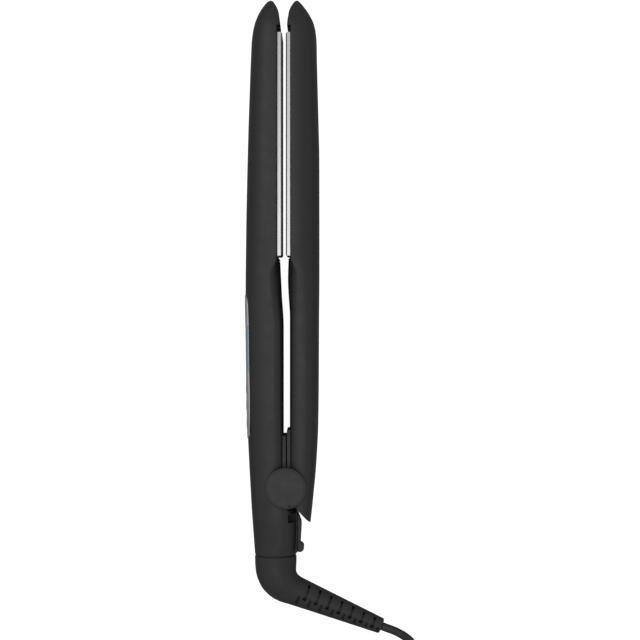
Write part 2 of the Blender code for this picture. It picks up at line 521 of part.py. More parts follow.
def plug():
    """A flat two-pin plug, lying beside the hank with its pins towards the iron."""
    rings = []
    for back, wide, thick, bend in ((0, 3.1, 3.1, 2), (14, 3.9, 3.9, 2), (16, 7, 5.5, 2.5), (22, 12, 6.6, 3),
                                    (32, 16.5, 6.85, 3.5), (45, 17.6, 6.85, 4), (46, 17.2, 6.4, 4)):
        ring = []
        for k in range(24):
            turn = 2 * math.pi * k / 24
            c, s = math.cos(turn), math.sin(turn)
            ring.append((PLUG_X + wide * math.copysign(abs(c) ** (2 / bend), c), PLUG_END + back,
                         PLUG_Z + thick * math.copysign(abs(s) ** (2 / bend), s)))
        rings.append(ring)
    loft("plug_body", rings, "plug")
    face = PLUG_END + 46 + GAP
    for way, x in (("left", -9.3), ("right", 9.3)):
        profile = [(0, face + 19), (1.2, face + 18.8), (2, face + 17.6), (2, face), (0, face)]
        turned(f"plug_pin_{way}", "Y", (PLUG_X + x, 0, PLUG_Z), profile, "brass", 16)


start()
control_casing()
plain_casing()
for arm_side in (-1, 1):
    cover(arm_side)
    plate_stack(arm_side)
hinge()
panel()
leads()
lock()
boot()
cord()
plug()
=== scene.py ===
"""The looks of the flat iron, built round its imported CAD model. Lengths are in millimetres until a mesh is made."""

import json
import math

import bmesh
import bpy
import numpy as np
from mathutils import Matrix, Vector


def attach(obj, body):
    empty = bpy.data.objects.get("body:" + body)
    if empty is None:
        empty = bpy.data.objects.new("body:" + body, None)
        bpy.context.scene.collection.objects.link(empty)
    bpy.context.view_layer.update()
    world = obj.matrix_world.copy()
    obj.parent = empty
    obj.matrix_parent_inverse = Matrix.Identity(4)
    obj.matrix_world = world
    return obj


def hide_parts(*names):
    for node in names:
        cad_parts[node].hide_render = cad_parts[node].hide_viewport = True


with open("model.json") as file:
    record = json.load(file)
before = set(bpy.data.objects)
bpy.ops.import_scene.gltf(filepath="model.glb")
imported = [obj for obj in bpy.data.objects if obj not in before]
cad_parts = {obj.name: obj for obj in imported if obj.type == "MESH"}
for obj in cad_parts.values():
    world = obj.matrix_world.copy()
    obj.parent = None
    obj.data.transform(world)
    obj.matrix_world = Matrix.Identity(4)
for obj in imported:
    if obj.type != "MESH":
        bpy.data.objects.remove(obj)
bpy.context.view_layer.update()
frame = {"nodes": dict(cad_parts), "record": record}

MM = 0.001
MID = 15.0  # height of the arms' middle plane over the table
TOP = 2 * MID
WALL = 1.9
GAP = 0.15  # round a part that sits in a mouth or window
HANDLE_END, BARREL_LOW, BARREL_HIGH, TIP_LOW, TIP = 112.0, 112.3, 227.6, 227.8, 242.3
PLATE_LOW, PLATE_HIGH, PLATE_HALF = 114.5, 224.6, 12.5
ARM = {-1: "control", 1: "plain"}  # a side is the sign of X
FACE = {-1: -1.8, 1: 0.05}  # X of each plate's hair face
COVER_LOW, COVER_HIGH, COVER_HALF, COVER_DEEP = 29.0, 106.0, 8.7, 2.4
SCREW_Y = 99.0
KNUCKLE = 9.0
PANEL_LOW, PANEL_HIGH, PANEL_HALF, PANEL_CORNER = 24.0, 95.2, 8.0, 4.5
LENS_LOW, LENS_HIGH, LENS_HALF = 57.3, 79.8, 7.1
OUTSIDE_X = -23.0  # beyond the control arm's outer face
BUTTONS = {"plus_button": 49.0, "minus_button": 40.5, "power_button": 31.5}
BUTTON = 3.1
SWIVEL_X, SEAM = -5.2, -34.4
CORD = 2.1  # radius
CORD_RUN = [(47.98, -70.51, 15.0), (56.0, -73.8, 14.4), (62.2, -78.5, 12.2), (65.5, -85.0, 9.2),
            (66.2, -92.0, 6.2), (66.1, -99.0, 4.0), (66.0, -105.3, 3.1)]
CORD_END_RUN = [(36.3, -201.0, 15.6), (29.0, -200.6, 14.9), (21.5, -198.2, 12.9), (15.0, -193.6, 10.4),
                (10.3, -187.0, 8.3), (8.2, -179.5, 7.1), (8.0, -172.0, 6.85)]
HANK_X, HANK_TOP, HANK_RUN = 49.0, -118.0, 66.0
HANK_TRACKS = (17.0, 12.6)
HANK_LAYERS = (3.0, 7.2, 11.4, 15.6)
PLUG_X, PLUG_Z, PLUG_END = 8.0, 6.85, -171.7
SURROUND = (0.72, 0.6)  # the studio's brightness low down and overhead


# Helpers ------------------------------------------------------------------------------------------------------------

def curve_through(table):
    """A smooth curve through a table's points that never swings past them."""
    x = np.array([row[0] for row in table], float)
    v = np.array([row[1] for row in table], float)
    h = np.diff(x)
    d = np.diff(v) / h
    m = np.zeros(len(x))
    m[0], m[-1] = d[0], d[-1]
    for k in range(1, len(x) - 1):
        if d[k - 1] * d[k] > 0:
            a, b = 2 * h[k] + h[k - 1], h[k] + 2 * h[k - 1]
            m[k] = (a + b) / (a / d[k - 1] + b / d[k])

    def at(y):
        y = min(max(y, x[0]), x[-1])
        k = min(int(np.searchsorted(x, y, side="right")) - 1, len(h) - 1)
        t = (y - x[k]) / h[k]
        return float((1 + 2 * t) * (1 - t) ** 2 * v[k] + t * (1 - t) ** 2 * h[k] * m[k]
                     + t * t * (3 - 2 * t) * v[k + 1] + t * t * (t - 1) * h[k] * m[k + 1])
    return at


def between(a, b, c, d, t):
    """A point from b (t = 0) to c (t = 1) on the smooth curve through four points."""
    return 0.5 * (2 * b + (c - a) * t + (2 * a - 5 * b + 4 * c - d) * t * t + (3 * b - a - 3 * c + d) * t ** 3)


def smooth_route(points, step):
    """Points about a step apart on one smooth curve through the route's own points."""
    p = [Vector(q) for q in points]
    p = [2 * p[0] - p[1]] + p + [2 * p[-1] - p[-2]]
    route = []
    for a, b, c, d in zip(p, p[1:], p[2:], p[3:]):
        count = max(1, round((c - b).length / step))
        route += [between(a, b, c, d, k / count) for k in range(count)]
    return route + [p[-2]]


def placed(name, data):
    """An object for a mesh, curve, light or camera."""
    obj = bpy.data.objects.new(name, data)
    bpy.context.scene.collection.objects.link(obj)
    return obj


def piece(name, verts, faces, angle=32):
    """A mesh object from points in millimetres, with its faces turned outwards."""
    mesh = bpy.data.meshes.new(name)
    mesh.from_pydata([Vector(v) * MM for v in verts], [], faces)
    shape = bmesh.new()
    shape.from_mesh(mesh)
    bmesh.ops.recalc_face_normals(shape, faces=shape.faces)
    shape.to_mesh(mesh)
    shape.free()
    return smoothed(placed(name, mesh), angle)


def smoothed(obj, angle=32):
    """Shades an object smooth, apart from edges sharper than the angle."""
    obj.data.shade_smooth()
    obj.data.set_sharp_from_angle(angle=math.radians(angle))
    return obj


def loft(name, rings, angle=32, closed=False):
    """A skin through rings of equal count, closed by a cap at each end or, if closed, back on itself."""
    count = len(rings[0])
    verts = [p for ring in rings for p in ring]
    faces = []
    for r in range(len(rings) if closed else len(rings) - 1):
        a, b = r * count, (r + 1) % len(rings) * count
        faces += [(a + k, a + (k + 1) % count, b + (k + 1) % count, b + k) for k in range(count)]
    if not closed:
        faces += [tuple(range(count)), tuple(range(len(verts) - count, len(verts)))]
    return piece(name, verts, faces, angle)


def turned(name, axis, centre, profile, steps=64, angle=32):
    """A profile of (radius, height) points, whose ends lie on the axis, turned about that axis."""
    verts, faces, circles = [], [], []
    for r, h in profile:
        if r == 0:
            circles.append([len(verts)] * steps)
            verts.append((0, 0, h))
        else:
            circles.append(list(range(len(verts), len(verts) + steps)))
            verts += [(r * math.cos(2 * math.pi * k / steps), r * math.sin(2 * math.pi * k / steps), h)
                      for k in range(steps)]
    for a, b in zip(circles, circles[1:]):
        for k in range(steps):
            n = (k + 1) % steps
            face = list(dict.fromkeys((a[k], a[n], b[n], b[k])))
            if len(face) > 2:
                faces.append(face)
    way = {"X": lambda x, y, z: (z, x, y), "Y": lambda x, y, z: (y, z, x), "Z": lambda x, y, z: (x, y, z)}[axis]
    return piece(name, [Vector(way(*v)) + Vector(centre) for v in verts], faces, angle)


def rod(name, axis, centre, radius, low, high, steps=64):
    """A cylinder to cut or add with."""
    return turned(name, axis, centre, [(0, high), (radius, high), (radius, low), (0, low)], steps)


def prism(name, axis, outline, low, high):
    """A flat outline pushed along an axis; its points are (y, z) for X, (x, z) for Y and (x, y) for Z."""
    place = {"X": lambda p, h: (h, p[0], p[1]), "Y": lambda p, h: (p[0], h, p[1]),
             "Z": lambda p, h: (p[0], p[1], h)}[axis]
    return loft(name, [[place(p, h) for p in outline] for h in (low, high)])


def block(name, x, y, z):
    """A box between two ends along each axis."""
    (x0, x1), (y0, y1), (z0, z1) = (sorted(span) for span in (x, y, z))
    return prism(name, "Z", [(x0, y0), (x1, y0), (x1, y1), (x0, y1)], z0, z1)


def rounded(low, high, radius, steps=8):
    """The outline of a rectangle with round corners."""
    points = []
    for cx, cy, start in ((high[0] - radius, high[1] - radius, 0), (low[0] + radius, high[1] - radius, 90),
                          (low[0] + radius, low[1] + radius, 180), (high[0] - radius, low[1] + radius, 270)):
        for k in range(steps + 1):
            t = math.radians(start + 90 * k / steps)
            points.append((cx + radius * math.cos(t), cy + radius * math.sin(t)))
    return points


def join(name, parts):
    """One mesh from several closed ones that don't touch."""
    shape = bmesh.new()
    for part in parts:
        shape.from_mesh(part.data)
        bpy.data.objects.remove(part)
    mesh = bpy.data.meshes.new(name)
    shape.to_mesh(mesh)
    shape.free()
    return placed(name, mesh)


def change(obj, operation, *others, solver="EXACT"):
    """Adds, cuts or keeps the common part with other pieces, which are used up."""
    for other in others:
        boolean = obj.modifiers.new(operation.lower(), "BOOLEAN")
        boolean.operation = operation
        boolean.solver = solver
        boolean.object = other
        bake(obj)
        bpy.data.objects.remove(other)
    return smoothed(obj)


def bake(obj):
    """Applies an object's modifiers."""
    graph = bpy.context.evaluated_depsgraph_get()
    graph.update()
    mesh = bpy.data.meshes.new_from_object(obj.evaluated_get(graph))
    obj.modifiers.clear()
    obj.data = mesh
    return obj


def softened(obj, width, segments=2, limit=40):
    """Rounds an object's edges."""
    bevel = obj.modifiers.new("edges", "BEVEL")
    bevel.width = width * MM
    bevel.segments = segments
    bevel.limit_method = "ANGLE"
    bevel.angle_limit = math.radians(limit)
    return smoothed(bake(obj), 40)


def fit(obj, body, slot, look, *nodes):
    """Puts a finished piece on its body, with its material, in the place of CAD nodes."""
    obj.data.materials.clear()
    obj.data.materials.append(look)
    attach(obj, body)
    if nodes:
        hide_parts(*nodes)
    return obj


# Materials ----------------------------------------------------------------------------------------------------------

class Look:
    """A procedural material: object-space textures that drive colour, roughness and bump of one shader."""

    def __init__(self, name, colour, roughness, metallic=0.0, specular=0.5):
        self.material = bpy.data.materials.new(name)
        self.material.use_nodes = True
        self.tree = self.material.node_tree
        self.shader = self.tree.nodes["Principled BSDF"]
        self.colour = colour
        self.roughness = roughness
        self.shader.inputs["Base Color"].default_value = (*colour, 1)
        self.shader.inputs["Roughness"].default_value = roughness
        self.shader.inputs["Metallic"].default_value = metallic
        self.shader.inputs["Specular IOR Level"].default_value = specular
        self.place = self.node("ShaderNodeTexCoord").outputs["Object"]
        self.bump = None

    def node(self, kind, **settings):
        made = self.tree.nodes.new(kind)
        for key, value in settings.items():
            if key in made.inputs:
                made.inputs[key].default_value = value
            else:
                setattr(made, key.lower(), value)
        return made

    def link(self, source, target):
        self.tree.links.new(source, target)

    def stretched(self, scale):
        mapping = self.node("ShaderNodeMapping")
        mapping.inputs["Scale"].default_value = scale
        self.link(self.place, mapping.inputs["Vector"])
        return mapping.outputs["Vector"]

    def noise(self, size, detail=3.0, stretch=(1, 1, 1)):
        """Noise with features about size millimetres across."""
        made = self.node("ShaderNodeTexNoise", Scale=1000.0 / size, Detail=detail, Roughness=0.55)
        self.link(self.stretched(stretch) if stretch != (1, 1, 1) else self.place, made.inputs["Vector"])
        return made.outputs["Fac"]

    def cells(self, size):
        made = self.node("ShaderNodeTexVoronoi", Scale=1000.0 / size)
        self.link(self.place, made.inputs["Vector"])
        return made.outputs["Distance"]

    def drive(self, socket, source, low, high, start=0.0, end=1.0):
        """A shader's socket runs from low to high as the source runs from start to end."""
        made = self.node("ShaderNodeMapRange")
        for key, value in (("From Min", start), ("From Max", end), ("To Min", low), ("To Max", high)):
            made.inputs[key].default_value = value
        self.link(source, made.inputs["Value"])
        self.link(made.outputs["Result"], self.shader.inputs[socket])

    def tint(self, source, low, high):
        """Colour from low to high times the material's own colour."""
        made = self.node("ShaderNodeMix", data_type="RGBA")
        made.inputs[6].default_value = (*(c * low for c in self.colour), 1)
        made.inputs[7].default_value = (*(c * high for c in self.colour), 1)
        self.link(source, made.inputs[0])
        self.link(made.outputs[2], self.shader.inputs["Base Color"])
        return self

    def rough(self, source, spread):
        self.drive("Roughness", source, self.roughness - spread, self.roughness + spread, 0.3, 0.7)
        return self

    def raise_by(self, source, height):
        """Bump of a height in millimetres, over any bump before it."""
        made = self.node("ShaderNodeBump", Strength=1.0, Distance=height * MM)
        self.link(source, made.inputs["Height"])
        if self.bump:
            self.link(self.bump, made.inputs["Normal"])
        self.bump = made.outputs["Normal"]
        self.link(self.bump, self.shader.inputs["Normal"])
        return self


def soft_touch(name, colour, roughness, specular, grain=0.45, height=0.010):
    """Matte moulded plastic: a fine spark-eroded grain, faint flow marks and a rubbed patchiness in its gloss."""
    look = Look(name, colour, roughness, specular=specular)
    look.tint(look.noise(14, 4), 0.86, 1.14)
    look.rough(look.noise(6, 5), 0.05)
    look.raise_by(look.noise(grain, 2), height)
    look.raise_by(look.cells(grain * 2.2), height * 0.7)
    return look.material


def metal(name, colour, roughness, grain=(1, 0.02, 1)):
    """Metal brushed along one axis, with small differences in tone and gloss."""
    look = Look(name, colour, roughness, metallic=1.0)
    lines = look.noise(0.25, 3, grain)
    look.tint(lines, 0.9, 1.08).rough(lines, 0.06).raise_by(lines, 0.004)
    return look.material


def make_materials():
    made = {
        "casing": soft_touch("casing_soft_touch", (0.0060, 0.0060, 0.0061), 0.5, 0.5),
        "cap": soft_touch("cap_soft_touch", (0.0062, 0.0062, 0.0063), 0.47, 0.5, 0.35, 0.008),
        # heat_plastic also lines the control arm's tail recesses as painted shade
        "heat_plastic": soft_touch("heat_plastic", (0.004, 0.004, 0.004), 0.62, 0.3, 0.5, 0.014),
        "button": soft_touch("button_plastic", (0.009, 0.009, 0.009), 0.36, 0.5, 0.3, 0.005),
        "mark": soft_touch("mark_paint", (0.5, 0.5, 0.5), 0.5, 0.4, 0.4, 0.004),
        "digits": soft_touch("display_digits", (0.012, 0.016, 0.02), 0.3, 0.4, 0.3, 0.002),
        "switch": soft_touch("switch_plastic", (0.08, 0.08, 0.082), 0.5, 0.4, 0.5, 0.01),
        "boot": soft_touch("boot_rubber", (0.0065, 0.0065, 0.0066), 0.52, 0.5, 0.55, 0.012),
        "plug": soft_touch("plug_plastic", (0.007, 0.007, 0.007), 0.42, 0.5, 0.6, 0.012),
        "cord": soft_touch("cord_sheath", (0.0070, 0.0070, 0.0072), 0.45, 0.5, 0.8, 0.006),
        "plate_side": metal("plate_bare_metal", (0.56, 0.56, 0.56), 0.34),
        "steel": metal("spring_steel", (0.6, 0.6, 0.62), 0.3, (1, 1, 0.05)),
        "brass": metal("brass", (0.75, 0.57, 0.25), 0.3, (1, 0.05, 1)),
        "pin": metal("plated_pin", (0.78, 0.72, 0.6), 0.22, (1, 0.05, 1)),
    }
    look = Look("plate_coating", (0.15, 0.15, 0.152), 0.3, metallic=0.25)
    look.tint(look.noise(0.12, 4), 0.85, 1.15)
    look.rough(look.noise(3, 4), 0.05)
    look.raise_by(look.noise(0.2, 3, (1, 0.1, 1)), 0.002)
    made["plate"] = look.material

    look = Look("heater_ceramic", (0.82, 0.78, 0.7), 0.6)
    look.tint(look.noise(1.5, 5), 0.9, 1.05).raise_by(look.noise(0.3), 0.02)
    made["ceramic"] = look.material

    look = Look("circuit_board", (0.03, 0.2, 0.09), 0.4)
    look.tint(look.noise(2.2, 1, (1, 0.3, 1)), 0.7, 1.3).raise_by(look.noise(1.0, 1), 0.03)
    made["board"] = look.material

    look = Look("panel_satin", (0.36, 0.36, 0.37), 0.33, metallic=0.35)
    look.tint(look.noise(0.25, 3, (1, 0.05, 1)), 0.92, 1.08).rough(look.noise(5, 4), 0.04)
    look.raise_by(look.noise(0.3, 2), 0.003)
    made["panel"] = look.material

    look = Look("display_lens", (0.155, 0.27, 0.33), 0.09, specular=0.6)
    look.tint(look.noise(9, 2), 0.93, 1.07).rough(look.noise(4, 5), 0.02)
    look.shader.inputs["Coat Weight"].default_value = 0.6
    look.shader.inputs["Coat Roughness"].default_value = 0.04
    made["lens"] = look.material

    look = Look("lead_insulation", (0.5, 0.05, 0.04), 0.45)
    look.tint(look.noise(1.2, 3), 0.85, 1.1).raise_by(look.noise(0.5), 0.01)
    made["lead"] = look.material

    look = Look("tie_webbing", (0.035, 0.035, 0.037), 0.85, specular=0.25)
    over = look.node("ShaderNodeTexWave", Scale=900.0, Distortion=1.0)
    look.link(look.stretched((1, 0.02, 1)), over.inputs["Vector"])
    across = look.node("ShaderNodeTexWave", Scale=650.0, Distortion=0.6, bands_direction="Y")
    look.link(look.place, across.inputs["Vector"])
    weave = look.node("ShaderNodeMath", operation="MULTIPLY")
    look.link(over.outputs["Fac"], weave.inputs[0])
    look.link(across.outputs["Fac"], weave.inputs[1])
    look.tint(weave.outputs[0], 0.5, 1.5).raise_by(weave.outputs[0], 0.12)
    look.shader.inputs["Sheen Weight"].default_value = 0.3
    made["tie"] = look.material
    return made


# The arms -----------------------------------------------------------------------------------------------------------

# Curves along Y: half the depth over and under the middle plane, and the outer face's X
HALF_DEPTH = curve_through([
    (SEAM, 10.2), (-28, 10.9), (-14, 12.1), (-8, 12.2), (8, 12.25), (20, 12.6), (50, 13.3), (90, 13.8),
    (HANDLE_END, 14.6), (130, 15), (226, 15), (230, 14.7), (234, 13.4), (236.8, 11.6), (238.8, 9.5),
    (240.8, 6.3), (241.8, 4.0), (TIP, 2.2)])
OUTER = {
    -1: curve_through([
        (SEAM, -15.6), (-28, -16.1), (-20.2, -16.65), (-12, -17.25), (-2.2, -17.8), (12.8, -18.6),
        (27.8, -19.25), (42.8, -19.6), (60, -19.85), (78.8, -20.1), (90, -20.35), (102.8, -20.3),
        (117.8, -20.15), (132.8, -19.95), (147.8, -19.65), (162.8, -19.3), (177.8, -18.9), (192.8, -18.4),
        (210.8, -17.75), (222.8, -17.15), (228.8, -16.2), (232.8, -14.95), (236.8, -13.1), (238.8, -11.8),
        (240.8, -10.3), (241.8, -9.4), (TIP, -8.6)]),
    1: curve_through([
        (-18.3, 12.2), (-17, 12.35), (-11.2, 13.0), (-5.2, 13.6), (0.8, 14.2), (9.8, 15.0), (18.8, 15.55),
        (27.8, 16.0), (52, 16.35), (84.8, 16.5), (93.8, 16.58), (102.8, 16.65), (132.8, 16.65),
        (162.8, 16.6), (177.8, 16.3), (192.8, 15.9), (210.8, 15.45), (222.8, 15.2), (226.8, 14.75),
        (228.8, 14.35), (230.8, 13.8), (232.8, 12.9), (234.8, 11.85), (236.8, 10.65), (238.8, 9.2),
        (240.8, 7.6), (241.8, 6.7), (TIP, 6.2)])}
ROUNDNESS = curve_through([(SEAM, 2.0), (-28, 2.1), (-20, 2.3), (-12, 2.5), (231, 2.5), (236.8, 2.2), (TIP, 2.0)])


def level(value):
    """A curve with one value everywhere."""
    return lambda y: value


def inset(amount):
    """A curve inside the arm's half-depth by an amount."""
    return lambda y: HALF_DEPTH(y) - amount


# The inner side of an arm along Y, by stretches: the ends, then curves for the inner face's X, half the width of its
# flat, and the depth and bend of the rounding beside it
HANDLE_EDGE = (
    level(9.0), curve_through([(-20, 5.2), (60, 5.4), (96, 4.8), (106, 4.6), (109, 3.2), (HANDLE_END, 1.75)]),
    curve_through([(80, 2.1), (104, 1.35), (HANDLE_END, 1.35)]))
BARREL_EDGE = inset(1.3), level(0.8), level(2.0)
TIP_EDGE = inset(1.4), curve_through([(TIP_LOW, 2.2), (233, 1.7), (240, 1.3), (TIP, 0.6)]), level(2.0)
STRETCHES = {
    -1: [(SEAM, -9, curve_through([(SEAM, 5.03), (-28, 5.2), (-20, 5.3), (-11.2, 5.15), (-9, 4.9)]),
          curve_through([(SEAM, 0.02), (-9, 1.5)]), curve_through([(SEAM, 10.2), (-28, 8.5), (-9, 8.5)]), level(2.1)),
         (-6, HANDLE_END, curve_through([(-6, -1.45), (78.8, -1.45), (84.8, -1.65), (93.8, -2.3), (102.8, -2.75),
                                         (HANDLE_END, -3.2)]), *HANDLE_EDGE),
         (BARREL_LOW, BARREL_HIGH, level(-4.1), *BARREL_EDGE),
         (TIP_LOW, TIP, curve_through([(TIP_LOW, -2.75), (230.2, -2.9), (232.8, -3.2), (234.8, -3.6), (236.8, -4.2),
                                       (238.8, -5.1), (240.8, -6.05), (241.8, -6.65), (TIP, -7.3)]), *TIP_EDGE)],
    1: [(-18.3, HANDLE_END, curve_through([(-18.3, 2.0), (84.8, 2.0), (93.8, 1.45), (102.8, 1.05),
                                           (HANDLE_END, 1.3)]), *HANDLE_EDGE),
        (BARREL_LOW, BARREL_HIGH, level(2.2), *BARREL_EDGE),
        (TIP_LOW, TIP, curve_through([(TIP_LOW, 0.7), (230.2, 0.85), (232.8, 1.25), (234.8, 1.5), (236.8, 2.15),
                                      (238.8, 2.95), (240.8, 3.9), (241.8, 4.4), (TIP, 4.9)]), *TIP_EDGE)]}


def inner_edge(side, y):
    """X of an arm's inner face."""
    return next(edge(y) for _, high, edge, *_ in STRETCHES[side] if y <= high)


def section(side, y, stretch, shrink=0.0, fine=True):
    """One closed section of an arm: flat inner face, rounded inner edges and a long outer curve."""
    _, _, inner, flat_half, depth, curl = stretch
    bend, roundness = curl(y), ROUNDNESS(y)
    half = HALF_DEPTH(y) - shrink
    flat = min(flat_half(y), half - 0.2)
    face = inner(y) + side * shrink
    shoulder = face + side * depth(y)
    crest = OUTER[side](y) - side * shrink
    flats, bends, outs = (4, 9, 30) if fine else (2, 5, 14)
    upper = [(face, flat * k / flats) for k in range(flats)]
    for k in range(bends):
        a = math.pi / 2 * k / bends
        upper.append((shoulder - (shoulder - face) * math.cos(a) ** (2 / bend),
                      flat + (half - flat) * math.sin(a) ** (2 / bend)))
    for k in range(outs):
        a = math.pi / 2 * k / outs
        upper.append((shoulder + (crest - shoulder) * math.sin(a) ** (2 / roundness),
                      half * math.cos(a) ** (2 / roundness)))
    ring = upper + [(crest, 0)] + [(x, -z) for x, z in reversed(upper[1:])]
    return [(x, y, MID + z) for x, z in ring]


def places_along(low, high):
    """Places along Y, closer together near a tip and at the seam."""
    places = [low]
    while places[-1] < high - 0.01:
        y = places[-1]
        step = 0.35 if y > 239 else 0.7 if y > 229 else 1.0 if y < -24 else 2.4
        places.append(min(y + step, high))
    return places


def arm_body(name, side, shrink=0.0, low=-100.0, high=300.0, fine=True, rounding=()):
    """A solid of an arm's own sections between two places; rounding is (reach, shrink) steps at its low end."""
    rings = []
    for stretch in STRETCHES[side]:
        a, b = max(stretch[0], low), min(stretch[1], high)
        if a < b:
            rings += [section(side, y, stretch, shrink, fine) for y in places_along(a, b)]
    first = STRETCHES[side][0]
    if rounding:
        rings = [section(side, first[0] + reach, first, drawn) for reach, drawn in rounding] + rings[1:]
    return loft(name, rings)


def sector(radius_in, radius_out, start, end, steps=28):
    """An outline between two arcs about the hinge axis."""
    turns = [math.radians(start + (end - start) * k / steps) for k in range(steps + 1)]
    return ([(radius_out * math.cos(t), radius_out * math.sin(t)) for t in turns]
            + [(radius_in * math.cos(t), radius_in * math.sin(t)) for t in reversed(turns)])


def shell(side):
    """An arm's casing with its hollows, the tab that meets the other arm's, its plate mouth and cover mouth."""
    name = ARM[side]
    seam_edge = [(0, 0.28), (0.1, 0.14), (0.3, 0.04), (0.7, 0.0)] if side < 0 else ()
    body = arm_body(f"{name}_shell", side, rounding=seam_edge)
    rim, inner = inner_edge(side, 170), inner_edge(side, SCREW_Y)
    hollow = arm_body("handle_hollow", side, WALL, -28.4 if side < 0 else -20, 108, False)
    if side < 0:  # solid under the recesses in the tail
        for low, high in ((0, 11.0), (19.0, TOP)):
            change(hollow, "DIFFERENCE", prism("recess_floor", "Z", sector(7.0, 20.0, -92, -40), low, high))
    change(body, "DIFFERENCE", hollow, arm_body("barrel_hollow", side, WALL, BARREL_LOW, BARREL_HIGH, False))
    face, top = (0.2, 25.7) if side < 0 else (0.5, 28.5)
    change(body, "UNION", softened(block("tab", (face, side * 2.9), (2, top), (5.2, 24.8)), 0.35))
    change(body, "DIFFERENCE",
           block("plate_mouth", (rim + side * 2.5, rim - side * 8), (112.2, 227.65), (WALL, TOP - WALL)),
           block("cover_mouth", (inner + side * 5, inner - side * 6), (COVER_LOW - GAP, COVER_HIGH + GAP),
                 (MID - COVER_HALF - GAP, MID + COVER_HALF + GAP)))
    return body


def window(name, low, high, half, corner, margin, outer, inner):
    """A cutter with round corners through the control arm's outer wall, or what bounds a part that sits in it."""
    outline = rounded((low - margin, MID - half - margin), (high + margin, MID + half + margin), corner)
    return prism(name, "X", outline, outer, inner)


def repaint(obj, look, chosen):
    """Gives a second material to the faces that chosen picks by their centre in millimetres and their normal."""
    obj.data.materials.append(look)
    for face in obj.data.polygons:
        if chosen(*(face.center / MM), face.normal):
            face.material_index = 1


def control_shell(looks):
    """The control arm's casing: hinge seats, recesses in the tail, panel window, swivel hole and lock slot."""
    body = shell(-1)
    change(body, "UNION", softened(block("lock_track", (2.5, 5.7), (-33.2, -12.2), (11.4, 18.6)), 0.25))
    start, end, floor = -86, -48, 4.8  # of the recesses: angles about the hinge, and depth left from the middle plane
    change(body, "DIFFERENCE",
           rod("hinge_seat", "Z", (0, 0, 0), KNUCKLE + 0.4, 0, TOP, 96),
           *(prism("tail_recess", "Z", sector(inside, outside, start, end), low, high)
             for inside, outside in ((9.0, 11.5), (13.7, 17.7))
             for low, high in ((-1, MID - floor), (MID + floor, TOP + 1))),
           window("panel_window", PANEL_LOW, PANEL_HIGH, PANEL_HALF, PANEL_CORNER + GAP, GAP, OUTSIDE_X, -15.8),
           rod("swivel_hole", "Y", (SWIVEL_X, 0, MID), 6.0, SEAM - 2, -26),
           block("lock_slot", (1, 8), (-23.5, -13.0), (12.6, 17.4)))
    fit(body, "control_arm", "casing", looks["casing"], "control_casing")
    # Painted shade: the tail recesses' walls and floors take the darker heat_plastic material so they look shaded
    repaint(body, looks["heat_plastic"], lambda x, y, z, normal: (
        13.6 < math.hypot(x, y) < 17.8 and start - 0.5 < math.degrees(math.atan2(y, x)) < end + 0.5
        and (abs(normal.z) < 0.1 or abs(abs(z - MID) - floor) < 0.02)))


def plain_shell(looks):
    """The plain arm's casing: slanted tail, and the knuckle round the hinge."""
    body = shell(1)
    tail = [(5.3, -10.4), (11.5, -17.2), (13.5, -19.4), (13.5, -30), (-15, -30), (-15, -4), (-0.35, -4)]
    change(body, "DIFFERENCE", prism("tail_cut", "Z", tail, -1, TOP + 1))
    change(body, "UNION", rod("knuckle", "Z", (0, 0, 0), KNUCKLE, 2.8, 27.2, 96))
    change(body, "DIFFERENCE", rod("knuckle_hollow", "Z", (0, 0, 0), KNUCKLE + 0.75, 4.8, 25.2, 96),
           rod("knuckle_bore", "Z", (0, 0, 0), 2.9, 0, TOP))
    fit(body, "plain_arm", "casing", looks["casing"], "plain_casing")


def cover(side, looks):
    """The handle's inner cover and the screw that holds it."""
    name = ARM[side]
    places = [COVER_LOW + (COVER_HIGH - COVER_LOW) * k / 40 for k in range(41)]
    edge = [(inner_edge(side, y) + side * 0.02, y) for y in places]
    outline = edge + [(x + side * COVER_DEEP, y) for x, y in reversed(edge)]
    body = softened(prism(f"{name}_handle_cover", "Z", outline, MID - COVER_HALF, MID + COVER_HALF), 0.35, 3)
    x = inner_edge(side, SCREW_Y)
    change(body, "DIFFERENCE", rod("cover_hole", "X", (0, SCREW_Y, MID), 1.4, x - 4, x + 4, 32),
           turned("cover_sink", "X", (x, SCREW_Y, MID),
                  [(0, -side), (2.9, -side), (2.9, 0), (2.6, side * 0.3), (2.6, side * 1.4), (0, side * 1.4)], 48))
    fit(body, f"{name}_arm", "casing", looks["casing"], f"{name}_inner_cover")
    head = [(0, 0.75), (1.5, 0.7), (2.05, 0.5), (2.2, 0.2), (2.2, 0), (1.1, 0), (1.1, -7), (0.4, -8), (0, -8)]
    seat = x + side * 1.1
    screw = turned(f"{name}_cover_screw_head", "X", (seat, SCREW_Y, MID), [(r, -side * h) for r, h in head], 48)
    top = seat - side * 0.75
    for across, along in ((0.24, 1.15), (1.15, 0.24)):
        change(screw, "DIFFERENCE", block("driver_cross", (top - side, top + side * 0.6),
                                          (SCREW_Y - across, SCREW_Y + across), (MID - along, MID + along)))
    fit(screw, f"{name}_arm", "steel", looks["steel"], f"{name}_cover_screw")


